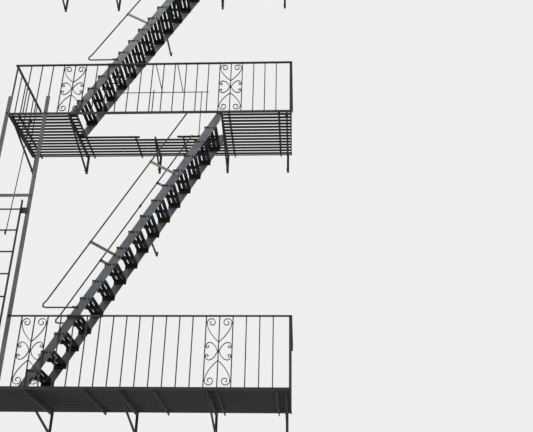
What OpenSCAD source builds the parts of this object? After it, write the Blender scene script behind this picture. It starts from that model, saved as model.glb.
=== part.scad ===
// Fire escape stair of a brick building: three balconies on wall brackets,
// two steep flights and a drop ladder that slides in front of the lowest one.
// The wall is the plane Y = 0, the stair stands on the -Y side, +Z is up.
// The origin is on the wall face of the middle bracket of the lowest balcony.

/* [Balconies] */
// Length of a balcony along the wall
bal_len = 3740; // [3400:10:4200]
// Depth from the wall to the outer face of the front bar
depth = 1070; // [950:5:1200]
// Height of the top rail above the floor, middle and top balcony
rail_h = 800; // [700:5:1000]
// Height of the top rail above the floor, lowest balcony
low_rail_h = 840; // [740:5:1000]
// Top of the lowest floor above the origin
floor_lift = 230; // [225:1:260]
// Storey from the lowest to the middle floor
storey_1 = 3660; // [3200:10:4000]
// Storey from the middle to the top floor
storey_2 = 3030; // [2900:10:3600]
// Width of a floor slat
slat_w = 38; // [30:1:45]
// Thickness of a floor slat
slat_t = 10; // [6:1:14]
// Number of floor slats across the depth
slat_n = 14; // [14:1:14]
// Slats that carry on as the walkway behind the stair opening
walk_n = 7; // [7:1:7]
// Width of the strip between the first slat and the wall
wall_strip = 14; // [10:1:20]
// Thickness of the front and end bars
bar_t = 12; // [10:1:16]
// Height of the front and end bars
bar_h = 34; // [30:1:45]
// How far the front and end bars stand above the slats
bar_lip = 15; // [8:1:18]
// Left end of the break in the outermost walkway slat
break_left = -220; // [-300:1:-120]
// Right end of the break in the outermost walkway slat
break_right = 300; // [200:1:340]

/* [Railings] */
// Width of the flat top rail
rail_w = 32; // [30:1:50]
// Thickness of the flat top rail
rail_t = 12; // [8:1:16]
// Side of a square baluster
bal_s = 12; // [10:1:16]
// Spacing of the front balusters
bal_pitch = 152; // [140:1:160]
// Least gap from the ladder guide to the scroll panel beside it
scroll_clear = 145; // [100:1:149]
// Balusters in an end railing
end_n = 5; // [4:1:6]
// Width of an end post of a railing
post_w = 20; // [14:1:30]
// Thickness of a scroll bar
scroll_t = 8; // [6:0.5:10]
// Side of the collar on the middle of a scroll panel
collar_s = 26; // [22:1:34]
// Drop of the rail beside the stair opening below the top rail
guard_drop = 62; // [45:1:75]
// Right end of the rail beside the stair opening
guard_end = 690; // [600:5:800]
// Post of the rail beside the stair opening
guard_post = 600; // [500:5:640]
// Place of the left rod that ties this rail to the front rail
guard_rod_a = 40; // [25:1:60]
// Place of the right rod that ties this rail to the front rail
guard_rod_b = 335; // [315:1:360]
// Place of the broken baluster on the middle balcony
stub_x = 45; // [30:1:60]
// Height of what is left of the broken baluster
stub_h = 360; // [250:5:450]

/* [Brackets] */
// Width of a bracket arm and brace
arm_w = 20; // [14:1:25]
// Height of a bracket arm
arm_h = 45; // [40:1:55]
// Width of the wall leg
leg_w = 32; // [30:1:40]
// Thickness of the wall leg
leg_t = 12; // [8:1:16]
// Foot of the wall leg below the origin
leg_down = 70; // [60:1:90]
// Height of a brace bar
brace_h = 30; // [24:1:36]
// Distance of a brace head from the end of its arm
brace_in = 20; // [10:1:60]
// Spacing of the two wall bolts of a leg
hole_gap = 110; // [90:1:120]
// Diameter of a wall bolt hole
hole_d = 14; // [12:1:16]
// Distance of an end bracket from the end of the balcony
bracket_end = 55; // [45:1:70]
// Distance of an end bracket from the end of the top balcony
top_end = 113; // [90:1:120]
// Distance of the left inner bracket from the opening
bracket_in = 100; // [80:1:120]
// Distance of the left inner bracket of the top balcony from the middle
top_inner = 898; // [860:1:930]

/* [Floor cross bars] */
// Width of a floor cross bar
cross_w = 12; // [10:1:16]
// Height of a floor cross bar
cross_h = 35; // [28:1:45]
// Distance of the outermost cross bar from the end of a balcony
cross_end = 150; // [140:1:200]
// Place of the cross bar right of the stair openings
cross_right = 1066; // [1040:1:1100]
// Distance of the middle cross bars from the middle
cross_mid = 385; // [340:5:420]
// Distance of the left break from the cross bar beside it
cross_break = 46; // [35:1:60]

/* [Flights] */
// Left end of the lower flight, at the floor
foot_1 = -1148; // [-1170:1:-1120]
// Left end of the upper flight, at the floor
foot_2 = -1060; // [-1080:1:-1040]
// Slope of the lower flight in degrees
slope_1 = 60.7; // [60:0.1:62]
// Slope of the upper flight in degrees
slope_2 = 59.7; // [59:0.1:61]
// Depth of a stringer across the slope
str_h = 100; // [92:1:110]
// Thickness of a stringer
str_t = 10; // [8:1:12]
// How far an opening reaches past the top of the stringer's left edge
land = 48; // [30:1:70]
// Risers of the lower flight
risers_1 = 17; // [16:1:18]
// Risers of the upper flight
risers_2 = 15; // [14:1:16]
// How much the first riser of the upper flight is higher than the others
first_2 = 30; // [0:1:40]
// Width of one bar of a tread
tread_w = 45; // [38:1:48]
// Gap between two bars of a tread
tread_gap = 15; // [10:1:18]
// Thickness of a tread bar
tread_t = 10; // [8:1:12]
// Leg of the angle under each end of a tread
tread_ang = 50; // [36:1:56]
// Height of the bearer under the middle of a tread
bearer_h = 45; // [30:1:50]
// How far a tread of the lower flight stands out past the stringer edge
nose_1 = 40; // [20:1:50]
// How far a tread of the upper flight stands out past the stringer edge
nose_2 = 60; // [40:1:70]
// Diameter of the handrail rod
rod_d = 19; // [16:1:22]
// Distance of the lower handrail from the stringer edge, across the slope
rod_off_1 = 345; // [320:5:400]
// Distance of the upper handrail from the stringer edge, across the slope
rod_off_2 = 330; // [300:5:380]
// Height of the lower corner of the lower handrail above the floor
rod_low_1 = 945; // [900:5:980]
// Height of the lower corner of the upper handrail above the floor
rod_low_2 = 895; // [860:5:950]
// Height of the first standard at the lower handrail
stand_low_1 = 1785; // [1700:5:1850]
// Height of the first standard at the upper handrail
stand_low_2 = 1705; // [1600:5:1800]
// Drop of the second standard below the floor above
stand_top = 750; // [700:5:860]
// Width of a handrail standard
stand_w = 35; // [28:1:42]
// Width of the flat bar of a wall tie
tie_w = 25; // [20:1:28]
// Height of the wall tie above the floor, lower flight
tie_1 = 2080; // [1850:5:2150]
// Height of the wall tie above the floor, upper flight
tie_2 = 1810; // [1700:5:1900]
// Distance of the lower wall tie from the stringer edge
tie_in_1 = 48; // [20:1:80]
// Distance of the upper wall tie from the stringer edge
tie_in_2 = 14; // [14:1:60]

/* [Drop ladder] */
// How far the middle of the corner guide stands past the end of the balcony
guide_out = 5; // [0:1:10]
// Distance between the middles of the two guides
guide_gap = 510; // [500:1:520]
// Width of a guide bar
guide_w = 50; // [44:1:54]
// Thickness of a guide bar
guide_t = 12; // [10:1:14]
// Height of the guide tops above the middle floor
guide_up = 275; // [200:5:300]
// Height of the guide tie above the lowest floor
guide_tie = 2395; // [2380:5:2450]
// Distance between the middles of a guide and a stile
stile_in = 85; // [72:1:90]
// Depth of a ladder stile
stile_h = 40; // [36:1:50]
// Thickness of a ladder stile
stile_t = 10; // [8:1:12]
// Top of the ladder above the lowest floor when it is stowed
ladder_top = 2340; // [2300:5:2350]
// Length of the ladder
ladder_len = 2850; // [2760:10:2900]
// Spacing of the rungs
rung_pitch = 288; // [270:1:292]
// Number of rungs
rung_n = 10; // [9:1:10]
// Diameter of a rung
rung_d = 19; // [16:1:22]
// Diameter of the hook rod
hook_d = 12; // [10:1:14]

/* [Hidden] */
slip = 0.6;
ease = 5;
pin_slip = 1;
half = bal_len / 2;
in_face = depth - bar_t;
slat_gap = (in_face - slat_n * slat_w) / (slat_n + 1);
slat_pitch = slat_w + slat_gap;
walk_edge = slat_pitch * walk_n;
floor_z = [floor_lift, floor_lift + storey_1, floor_lift + storey_1 + storey_2];
rail_in = in_face - 4;
rail_out = rail_in + rail_w;
top_1 = foot_1 + storey_1 / tan(slope_1);
top_2 = foot_2 + storey_2 / tan(slope_2);
well_l = foot_2 + str_h / sin(slope_2);
well_l2 = bracket_in - top_inner;
well_r1 = top_1 + land;
well_r2 = top_2 + land;
bracket_x = [bracket_end - half, well_l - bracket_in, 0, well_r1 + arm_w / 2, half - bracket_end];
top_bracket_x = [top_end - half, -top_inner, 0, well_r2 + arm_w / 2, half - top_end];
lug_t = 5;
ang_t = 6;
guide_b = -half - guide_out;
guide_a = guide_b + guide_gap;
scroll_bay = floor((-guide_a - bal_pitch - scroll_clear) / bal_pitch);
rod_r = rod_d / 2;
front_str = in_face - lug_t;
back_str = walk_edge + lug_t;
tread_run = 3 * tread_w + 2 * tread_gap;
stile_y = depth + ease;
rung_y = stile_y + stile_h / 2;
stile_a = guide_a - stile_in;
stile_b = guide_b + stile_in;
hook_x = (guide_a + guide_b) / 2 + 15;
hook_slat = slat_n - 2;
hook_y = slat_gap + slat_w / 2 + slat_pitch * hook_slat;
hook_z = floor_z[1] - slat_t - 30;
rung_2 = floor_lift + ladder_top - 126 - rung_pitch;
hook_lip = rung_y - rung_d / 2 - ease - 2;
hook_foot = hook_lip - 38;
rod_seg = 12;

// Which node to draw

iron = [0.13, 0.13, 0.14];
grey_iron = [0.42, 0.46, 0.52];

// helpers

// Box from two corners
module block(a, b) translate(a) cube(b - a);

// Flat shape in the X-Z plane, from depth y0 to depth y1 in front of the wall
module plate(y0, y1) translate([0, -y0, 0]) rotate([90, 0, 0]) linear_extrude(y1 - y0) children();

// Points of a round rod along a path in one plane, mitred at the bends
function unit(v) = v / norm(v);
function path_dir(p, i) = i == 0 ? unit(p[1] - p[0])
  : i == len(p) - 1 ? unit(p[i] - p[i - 1])
  : unit(unit(p[i] - p[i - 1]) + unit(p[i + 1] - p[i]));
function mitre(p, i) = i == 0 || i == len(p) - 1 ? 1
  : 1 / max(0.5, path_dir(p, i) * unit(p[i + 1] - p[i]));

// Round rod along a path of points; side is the direction square to its plane
module rod(p, r, side) {
  n = rod_seg;
  rings = [for (i = [0:len(p) - 1]) let(d = path_dir(p, i), u = cross(side, d), m = mitre(p, i))
    for (j = [0:n - 1]) p[i] + r * cos(j * 360 / n + 15) * side + r * m * sin(j * 360 / n + 15) * u];
  sides = [for (i = [0:len(p) - 2]) for (j = [0:n - 1])
    [i * n + j, i * n + (j + 1) % n, (i + 1) * n + (j + 1) % n, (i + 1) * n + j]];
  polyhedron(rings, concat(sides, [[for (j = [n - 1:-1:0]) j]],
    [[for (j = [0:n - 1]) (len(p) - 1) * n + j]]), convexity = 6);
}

// Flat band of width w along a list of 2-D points
function side_pt(p, i, w) = let(d = path_dir(p, i), m = mitre(p, i)) p[i] + [-d[1], d[0]] * w / 2 * m;
module band(p, w) polygon(concat([for (i = [0:len(p) - 1]) side_pt(p, i, w)],
  [for (i = [len(p) - 1:-1:0]) side_pt(p, i, -w)]));

// brackets and floors

// Wall bracket with arm, leg and brace; reach is the arm's end
module bracket(x, z, reach) {
  top = z - slat_t;
  foot = z - floor_lift - leg_down;
  head = reach - brace_in;
  translate([x, 0, 0]) difference() {
    union() {
      block([-leg_w / 2, -leg_t, foot], [leg_w / 2, 0, top]);
      block([-arm_w / 2, -reach, top - arm_h], [arm_w / 2, -leg_t + 1, top]);
      rotate([90, 0, -90]) translate([0, 0, -arm_w / 2]) linear_extrude(arm_w) polygon([
        [leg_t - 1, foot + 6], [leg_t - 1, foot + 6 + brace_h],
        [head - 45, top - arm_h + 1], [head, top - arm_h + 1]]);
    }
    for (v = [0, hole_gap]) translate([0, 1, z - floor_lift + v]) rotate([90, 0, 0])
      cylinder(d = hole_d, h = leg_t + 2, $fn = 16);
  }
}

// All brackets of one floor; the middle one is short where the stair opening is
module brackets(z, places, short) {
  for (i = [0:4]) bracket(places[i], z, short && i == 2 ? walk_edge : in_face);
}

// Slats between two X values, from slat a to slat b
module slats(z, x0, x1, a, b) {
  for (i = [a:b]) block([x0, -slat_pitch * (i + 1), z - slat_t],
    [x1, -slat_pitch * (i + 1) + slat_w, z]);
}

// Strip between the first slat and the wall
module strip(z) block([-half + bar_t, -wall_strip, z - slat_t], [half - bar_t, 0, z]);

// One cross bar under the slats, from the wall to the given reach
module cross_bar(x, z, reach) block([x - cross_w / 2, -reach, z - slat_t - cross_h],
  [x + cross_w / 2, 0, z - slat_t]);

// Front bar and both end bars of a floor
module edge_bars(z) {
  top = z + bar_lip;
  block([-half, -depth, top - bar_h], [half, -in_face, top]);
  for (s = [-1, 1]) block([s > 0 ? half - bar_t : -half, -in_face - 1, top - bar_h],
    [s > 0 ? half : -half + bar_t, 0, top]);
}

module low_brackets() color(iron) brackets(floor_z[0], bracket_x, false);
module mid_brackets() color(iron) brackets(floor_z[1], bracket_x, true);
module top_brackets() color(iron) brackets(floor_z[2], top_bracket_x, true);

// Cross bars of a floor at the full depth, at the given places besides those near the ends
module cross_bars(z, places)
  for (x = concat([cross_end - half, cross_right, half - cross_end], places)) cross_bar(x, z, in_face);

module low_floor_bars() color(iron) cross_bars(floor_z[0], [-cross_mid, cross_mid]);
module mid_floor_bars() color(iron) {
  cross_bars(floor_z[1], [well_l - cross_w / 2]);
  for (x = [break_left - cross_break, break_right + 2 * cross_break])
    cross_bar(x, floor_z[1], walk_edge);
}
module top_floor_bars() color(iron) {
  cross_bars(floor_z[2], [well_l2 - cross_w / 2]);
  for (x = [-cross_mid, cross_mid]) cross_bar(x, floor_z[2], walk_edge);
}

module low_floor_slats() color(iron) {
  strip(floor_z[0]);
  slats(floor_z[0], -half + bar_t, half - bar_t, 0, slat_n - 1);
}
module mid_floor_left() color(iron)
  slats(floor_z[1], -half + bar_t, well_l, walk_n, slat_n - 1);
module mid_floor_right() color(iron)
  slats(floor_z[1], well_r1, half - bar_t, walk_n, slat_n - 1);
module mid_walkway() color(iron) {
  strip(floor_z[1]);
  slats(floor_z[1], -half + bar_t, half - bar_t, 0, walk_n - 2);
  slats(floor_z[1], -half + bar_t, break_left, walk_n - 1, walk_n - 1);
  slats(floor_z[1], break_right, half - bar_t, walk_n - 1, walk_n - 1);
}
module top_floor_left() color(iron)
  slats(floor_z[2], -half + bar_t, well_l2, walk_n, slat_n - 1);
module top_floor_right() color(iron)
  slats(floor_z[2], well_r2, half - bar_t, walk_n, slat_n - 1);
module top_walkway() color(iron) {
  strip(floor_z[2]);
  slats(floor_z[2], -half + bar_t, half - bar_t, 0, walk_n - 1);
}

module low_edge_bars() color(iron) edge_bars(floor_z[0]);
module mid_edge_bars() color(iron) edge_bars(floor_z[1]);
module top_edge_bars() color(iron) edge_bars(floor_z[2]);

// railings

// One square baluster at x, y between the edge bar of floor z and a rail of height h
module baluster(x, y, z, h) block([x - bal_s / 2, y - bal_s / 2, z + bar_lip],
  [x + bal_s / 2, y + bal_s / 2, z + h - rail_t + 1]);

// Baluster places of a front railing
function bal_x(x0, x1) = [for (k = [-13:13]) let(x = k * bal_pitch) if (x > x0 + 60 && x < x1 - 50) x];

// Front railing of height h from x0 to x1; its left end stands out past the corner by over
module front_railing(z, h, x0, x1, over) {
  yc = -(depth + in_face) / 2;
  block([x0 - over, -rail_out, z + h - rail_t], [x1 + rail_out - depth, -rail_in, z + h]);
  for (x = bal_x(x0, x1)) baluster(x, yc, z, h);
  for (x = [x0, x1 - post_w]) block([x, yc - bal_s / 2, z + bar_lip],
    [x + post_w, yc + bal_s / 2, z + h - rail_t + 1]);
}

// End railing on side s; where there is no front rail it ends in its own corner post
module end_railing(z, h, s, corner) {
  xc = s * (half - bar_t / 2);
  front = corner ? in_face : rail_in;
  block([min(s * (half - 16), s * (half + rail_out - depth)), -front, z + h - rail_t],
    [max(s * (half - 16), s * (half + rail_out - depth)), 0, z + h]);
  for (i = [1:end_n]) baluster(xc, -in_face * i / (end_n + 1), z, h);
  if (corner) baluster(xc, -in_face + bal_s / 2, z, h);
}

// The lowest front railing starts behind the right guide of the ladder, notched to clear it
module low_front_railing() color(iron) difference() {
  front_railing(floor_z[0], low_rail_h, guide_a, half, 0);
  block([guide_a - 1, -rail_out - 1, floor_z[0] + low_rail_h - rail_t - 1],
    [guide_a + guide_w / 2, -depth, floor_z[0] + low_rail_h + 1]);
}
// The middle front railing keeps the stub of a broken baluster
module mid_front_railing() color(iron) {
  front_railing(floor_z[1], rail_h, -half, half, rail_out - depth);
  block([stub_x - bal_s / 2, -depth, floor_z[1] + bar_lip],
    [stub_x + bal_s / 2, -in_face, floor_z[1] + stub_h]);
}
module top_front_railing() color(iron)
  front_railing(floor_z[2], rail_h, -half, half, rail_out - depth);
module low_left_railing() color(iron) end_railing(floor_z[0], low_rail_h, -1, true);
module mid_left_railing() color(iron) end_railing(floor_z[1], rail_h, -1, false);
module top_left_railing() color(iron) end_railing(floor_z[2], rail_h, -1, false);
module low_right_railing() color(iron) end_railing(floor_z[0], low_rail_h, 1, false);
module mid_right_railing() color(iron) end_railing(floor_z[1], rail_h, 1, false);
module top_right_railing() color(iron) end_railing(floor_z[2], rail_h, 1, false);

// Quarter of a scroll panel: u runs out from the middle bar, v down from the rail
// hh is half the height of the panel
scroll_u = bal_pitch - bal_s / 2 - scroll_t / 2 + 0.5;
function bez(a, b, c, n) = [for (i = [0:n]) let(t = i / n)
  (1 - t) * (1 - t) * a + 2 * t * (1 - t) * b + t * t * c];
function curl(c, r0, r1, a0, a1, n) = [for (i = [1:n]) let(t = i / n, a = a0 + (a1 - a0) * t,
  r = r0 + (r1 - r0) * t) c + r * [cos(a), -sin(a)]];
heart_c = [scroll_u - 56, 72];
function heart(hh) = concat(
  bez([0, hh * 0.745], [scroll_u * 0.92, hh * 0.45], heart_c + [56, 0], 4),
  curl(heart_c, 56, 14, 0, 430, 13));
function cee_c(hh) = [scroll_u - 20, hh * 0.865];
function cee(hh) = concat(
  bez([collar_s / 2 - 1, hh - scroll_t], [scroll_u * 0.3, hh * 0.76],
    [scroll_u * 0.74, hh * 0.745], 3),
  [[scroll_u * 0.93, hh * 0.785]],
  [cee_c(hh) + [20, 0]], curl(cee_c(hh), 20, 10, 0, -270, 6));

module scroll_panel(x, z, h) {
  yc = (depth + in_face) / 2;
  hh = (h - rail_t - bar_lip) / 2;
  translate([x, 0, z + bar_lip + hh]) {
    for (m = [0, 1], n = [0, 1]) mirror([m, 0, 0]) mirror([0, 0, n])
      translate([0, 0, hh]) plate(yc - bal_s / 2, yc + bal_s / 2) mirror([0, 1])
        intersection() {
          union() {
            band(heart(hh), scroll_t);
            band(cee(hh), scroll_t);
          }
          translate([bal_s / 2, 0]) square([bal_pitch - bal_s, hh]);
        }
    difference() {
      block([-collar_s / 2, -yc - collar_s / 2, -collar_s / 2],
        [collar_s / 2, -yc + collar_s / 2, collar_s / 2]);
      block([-bal_s / 2, -yc - bal_s / 2, -collar_s], [bal_s / 2, -yc + bal_s / 2, collar_s]);
    }
  }
}

module scroll_panels(z, h) for (s = [-1, 1]) scroll_panel(s * scroll_bay * bal_pitch, z, h);

module low_scroll_panels() color(iron) scroll_panels(floor_z[0], low_rail_h);
module mid_scroll_panels() color(iron) scroll_panels(floor_z[1], rail_h);
module top_scroll_panels() color(iron) scroll_panels(floor_z[2], rail_h);

// Guard beside the stair opening: rail, post and two rods that hang from the front rail
module well_guard() color(iron) {
  z = floor_z[1];
  zr = z + rail_h - guard_drop;
  zf = z + rail_h - rail_t - hook_d / 2 - 0.3;
  yr = walk_edge - hook_d / 2;
  x0 = foot_2 + (rail_h - guard_drop) / tan(slope_2) + 30;
  rod([[x0 - 10, -yr, zr], [guard_end, -yr, zr]], hook_d / 2, [0, 1, 0]);
  rod([[guard_post, -yr, zr + 0.01], [guard_post, -yr, z]], hook_d / 2, [0, 1, 0]);
  for (x = [guard_rod_a, guard_rod_b]) rod([[x, -rail_in - 14, zf], [x, -rail_in + 14, zf], [x, -yr, zr]],
    hook_d / 2, [1, 0, 0]);
  block([x0 - 20, -back_str, zr - 10], [x0 + 30, -yr + 2, zr + 10]);
}

// flights

// A flight is given as fl = [floor z, rise, left end, slope in degrees, risers, handrail
// offset, height of its corner, height of the first standard, extra first riser, nose]
flight_1 = [floor_z[0], storey_1, foot_1, slope_1, risers_1, rod_off_1, rod_low_1,
  stand_low_1, 0, nose_1];
flight_2 = [floor_z[1], storey_2, foot_2, slope_2, risers_2, rod_off_2, rod_low_2,
  stand_low_2, first_2, nose_2];
function str_x(fl) = str_h / sin(fl[3]);
// Left edge of the stringer at height v above the flight's floor
function edge_x(fl, v) = fl[2] + v / tan(fl[3]);

// Stringer outline in the X-Z plane, cut level at both floors and square at the opening
module stringer_shape(fl) {
  z = fl[0];
  top = z + fl[1];
  w = str_x(fl);
  xe = edge_x(fl, fl[1]);
  polygon([[fl[2], z], [fl[2] + w, z], [xe + land, top - (w - land) * tan(fl[3])],
    [xe + land, top], [xe, top]]);
}

// Stringer between the depths y0 and y1, on a foot plate between the depths f0 and f1
module stringer(fl, y0, y1, f0, f1) {
  plate(y0, y1) stringer_shape(fl);
  block([fl[2] - 15, -f1, fl[0]], [fl[2] + str_x(fl), -f0, fl[0] + 8]);
}

// Treads of a flight: three bars on an angle at each end and a bearer in the middle
module treads(fl) {
  rise = fl[1] / fl[4];
  y0 = back_str + str_t;
  y1 = front_str - str_t;
  for (k = [1:fl[4] - 1]) {
    v = k * rise + fl[8];
    x = edge_x(fl, v) - fl[9];
    zt = fl[0] + v;
    zb = zt - tread_t;
    for (b = [0:2]) block([x + b * (tread_w + tread_gap), -y1, zb],
      [x + b * (tread_w + tread_gap) + tread_w, -y0, zt]);
    for (y = [y0, y1 - tread_ang]) block([x + 4, -y - tread_ang, zb - ang_t],
      [x + tread_run - 4, -y, zb + 1]);
    for (y = [y0, y1 - ang_t]) block([x + 4, -y - ang_t, zb - tread_ang],
      [x + tread_run - 4, -y, zb]);
    block([x + 4, -(y0 + y1) / 2 - ang_t, zb - bearer_h],
      [x + tread_run - 4, -(y0 + y1) / 2 + ang_t, zb + 1]);
  }
}

// Handrail with its return to the stringer and two standards; c is the rod's depth,
// p0 to p1 the depths of the standards and of the lug on the stringer
module handrail(fl, c, p0, p1) {
  z = fl[0];
  low = fl[6];
  off = fl[5] / sin(fl[3]);
  bend = 70;
  xr = edge_x(fl, low);
  rod([[xr - 12, -c, z + low],
       [xr - off + bend * 0.65, -c, z + low],
       [xr - off + bend * 0.2, -c, z + low + 12],
       [xr - off + bend * 0.2, -c, z + low + 46],
       [edge_x(fl, low + bend * 1.2) - off, -c, z + low + bend * 1.2],
       [edge_x(fl, fl[1]) - off, -c, z + fl[1]]], rod_r, [0, 1, 0]);
  plate(p0, p1) translate([xr - 40, z + low - 14]) square([80, 28]);
  for (v = [fl[7], fl[1] - stand_top]) plate(p0, p1) translate([edge_x(fl, v) - off, z + v])
    rotate(fl[3] - 90) translate([0, -stand_w / 2]) square([fl[5] + 60, stand_w]);
}

// Flat tie from the wall side of a stringer to the wall, with a tab bent up at each end
module wall_tie(fl, v, inset) {
  x = edge_x(fl, v) + inset;
  z = fl[0] + v;
  block([x - tie_w / 2, -back_str, z - 8], [x + tie_w / 2, 0, z]);
  block([x - tie_w / 2, -back_str, z - 1], [x + tie_w / 2, -back_str + 8, z + 40]);
  difference() {
    block([x - tie_w / 2, -8, z - 1], [x + tie_w / 2, 0, z + 60]);
    translate([x, 1, z + 35]) rotate([90, 0, 0]) cylinder(d = 12, h = 10, $fn = 16);
  }
}

front_c = in_face - rod_r;
back_c = walk_edge + rod_r;

module low_front_stringer() color(grey_iron)
  stringer(flight_1, front_str - str_t, front_str, front_str - 50, front_str);
module low_back_stringer() color(grey_iron)
  stringer(flight_1, back_str, back_str + str_t, back_str - 20, back_str + 45);
module up_front_stringer() color(grey_iron)
  stringer(flight_2, front_str - str_t, front_str, front_str - 50, front_str);
module up_back_stringer() color(grey_iron)
  stringer(flight_2, back_str, back_str + str_t, back_str - 20, back_str + 45);
module low_treads() color(iron) treads(flight_1);
module up_treads() color(iron) treads(flight_2);
module low_front_handrail() color(iron) handrail(flight_1, front_c, front_str, in_face);
module low_back_handrail() color(iron) handrail(flight_1, back_c, walk_edge, back_str);
module up_front_handrail() color(iron) handrail(flight_2, front_c, front_str, in_face);
module up_back_handrail() color(iron) handrail(flight_2, back_c, walk_edge, back_str);
module low_wall_tie() color(iron) wall_tie(flight_1, tie_1, tie_in_1);
module up_wall_tie() color(iron) wall_tie(flight_2, tie_2, tie_in_2);

// drop ladder

// Two guide bars on the front bars of two floors, with a tie between them,
// and two angle keepers on the lowest front bar, in front of the stiles
module ladder_guides() color(grey_iron) {
  keepers();
  for (x = [guide_a, guide_b]) block([x - guide_w / 2, -depth - guide_t, floor_z[0] + bar_lip - bar_h],
    [x + guide_w / 2, -depth, floor_z[1] + guide_up]);
  block([guide_b - 15, -depth - guide_t - 6, floor_z[0] + guide_tie],
    [guide_a + 15, -depth - guide_t + 1, floor_z[0] + guide_tie + 40]);
}

// The two keepers
module keepers() {
  y1 = stile_y + stile_h + ease + 6;
  for (s = [[stile_a, 1], [stile_b, -1]]) translate([s[0], 0, 0]) mirror([s[1] > 0 ? 0 : 1, 0, 0]) {
    block([stile_t / 2 + ease, -y1, floor_z[0] + bar_lip - bar_h + 2],
      [stile_t / 2 + ease + 6, -depth, floor_z[0] + bar_lip - 2]);
    block([-stile_t / 2 - ease, -y1, floor_z[0] + bar_lip - bar_h + 2],
      [stile_t / 2 + ease + 1, -y1 + 6, floor_z[0] + bar_lip - 2]);
  }
}

// Ladder with ten rungs and a shoe on each stile that runs around its guide
module drop_ladder() color(iron) {
  zt = floor_z[0] + ladder_top;
  for (x = [stile_a, stile_b]) block([x - stile_t / 2, -stile_y - stile_h, zt - ladder_len],
    [x + stile_t / 2, -stile_y, zt]);
  for (k = [0:rung_n - 1]) translate([stile_b, -rung_y, zt - 126 - k * rung_pitch])
    rotate([0, 90, 0]) cylinder(d = rung_d, h = stile_a - stile_b, $fn = 14);
  for (s = [[stile_a, 1], [stile_b, -1]]) translate([s[0], 0, 0]) mirror([s[1] > 0 ? 0 : 1, 0, 0]) {
    gx = stile_in - guide_w / 2;
    block([0, -depth - guide_t - slip - 6, zt - 180], [gx + 20, -depth - guide_t - slip, zt - 100]);
    block([gx - slip - 6, -depth - guide_t - slip - 6, zt - 180], [gx - slip, -depth + slip + 6, zt - 100]);
    block([gx - slip - 6, -depth + slip, zt - 180], [gx + 20, -depth + slip + 6, zt - 100]);
  }
}

// Rod that hangs from the middle floor, with an eye above and a hook below
module ladder_hook() color(iron) {
  difference() {
    union() {
      rod([[hook_x, -hook_y, hook_z - 10], [hook_x, -hook_foot, rung_2 + 30],
        [hook_x, -hook_foot, rung_2 - 24], [hook_x, -hook_foot - 9, rung_2 - 36],
        [hook_x, -hook_lip + 14, rung_2 - 36], [hook_x, -hook_lip + hook_d / 2, rung_2 - 24],
        [hook_x, -hook_lip + hook_d / 2, rung_2 + 4]], hook_d / 2, [1, 0, 0]);
      translate([hook_x - 6, -hook_y, hook_z]) rotate([0, 90, 0]) cylinder(d = 28, h = 12, $fn = 20);
    }
    translate([hook_x - 20, -hook_y, hook_z]) rotate([0, 90, 0])
      cylinder(d = hook_d + 2 * pin_slip, h = 40, $fn = 20);
  }
}

// Pin and two lugs under the middle floor that carry the hook rod
module hook_lugs() color(iron) {
  for (s = [-1, 1]) block([hook_x + s * 15 - 4, -hook_y - 12, hook_z - 12],
    [hook_x + s * 15 + 4, -hook_y + 12, floor_z[1] - slat_t]);
  translate([hook_x - 16, -hook_y, hook_z]) rotate([0, 90, 0]) cylinder(d = hook_d, h = 32, $fn = 20);
}

low_brackets();
low_floor_bars();
low_floor_slats();
low_edge_bars();
low_front_railing();
low_left_railing();
low_right_railing();
low_scroll_panels();
mid_brackets();
mid_floor_bars();
mid_floor_left();
mid_walkway();
mid_floor_right();
mid_edge_bars();
mid_front_railing();
mid_left_railing();
mid_right_railing();
mid_scroll_panels();
well_guard();
top_brackets();
top_floor_bars();
top_floor_left();
top_walkway();
top_floor_right();
top_edge_bars();
top_front_railing();
top_left_railing();
top_right_railing();
top_scroll_panels();
low_front_stringer();
low_back_stringer();
low_treads();
low_front_handrail();
low_back_handrail();
low_wall_tie();
up_front_stringer();
up_back_stringer();
up_treads();
up_front_handrail();
up_back_handrail();
up_wall_tie();
ladder_guides();
hook_lugs();
drop_ladder();
ladder_hook();
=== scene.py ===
import logging
import math
from dataclasses import dataclass
from enum import Enum
from functools import cache
from typing import Iterable, Sequence

import bmesh
import bpy
from mathutils import Matrix, Vector


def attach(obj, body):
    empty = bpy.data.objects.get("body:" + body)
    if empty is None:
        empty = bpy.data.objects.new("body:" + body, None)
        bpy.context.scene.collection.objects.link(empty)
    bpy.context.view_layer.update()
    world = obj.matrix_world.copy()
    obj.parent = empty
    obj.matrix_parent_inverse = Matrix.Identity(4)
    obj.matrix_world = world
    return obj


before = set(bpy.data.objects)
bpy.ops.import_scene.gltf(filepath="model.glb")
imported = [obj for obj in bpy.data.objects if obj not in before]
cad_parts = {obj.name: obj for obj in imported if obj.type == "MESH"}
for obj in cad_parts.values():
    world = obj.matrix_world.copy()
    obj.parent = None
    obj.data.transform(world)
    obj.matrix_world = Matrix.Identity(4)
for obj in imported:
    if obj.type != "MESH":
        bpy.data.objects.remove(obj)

LOG = logging.getLogger("fire_escape")
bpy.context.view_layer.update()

Pair = tuple[float, float]
Triple = tuple[float, float, float]
# What a call of Piece takes after place and axis
Form = tuple[float, ...]
Spot = Sequence[float]

LEFT, RIGHT = (-1, 0, 0), (1, 0, 0)
STREET, WALL = (0, -1, 0), (0, 1, 0)
DOWN, UP = (0, 0, -1), (0, 0, 1)


# Sizes


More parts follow.
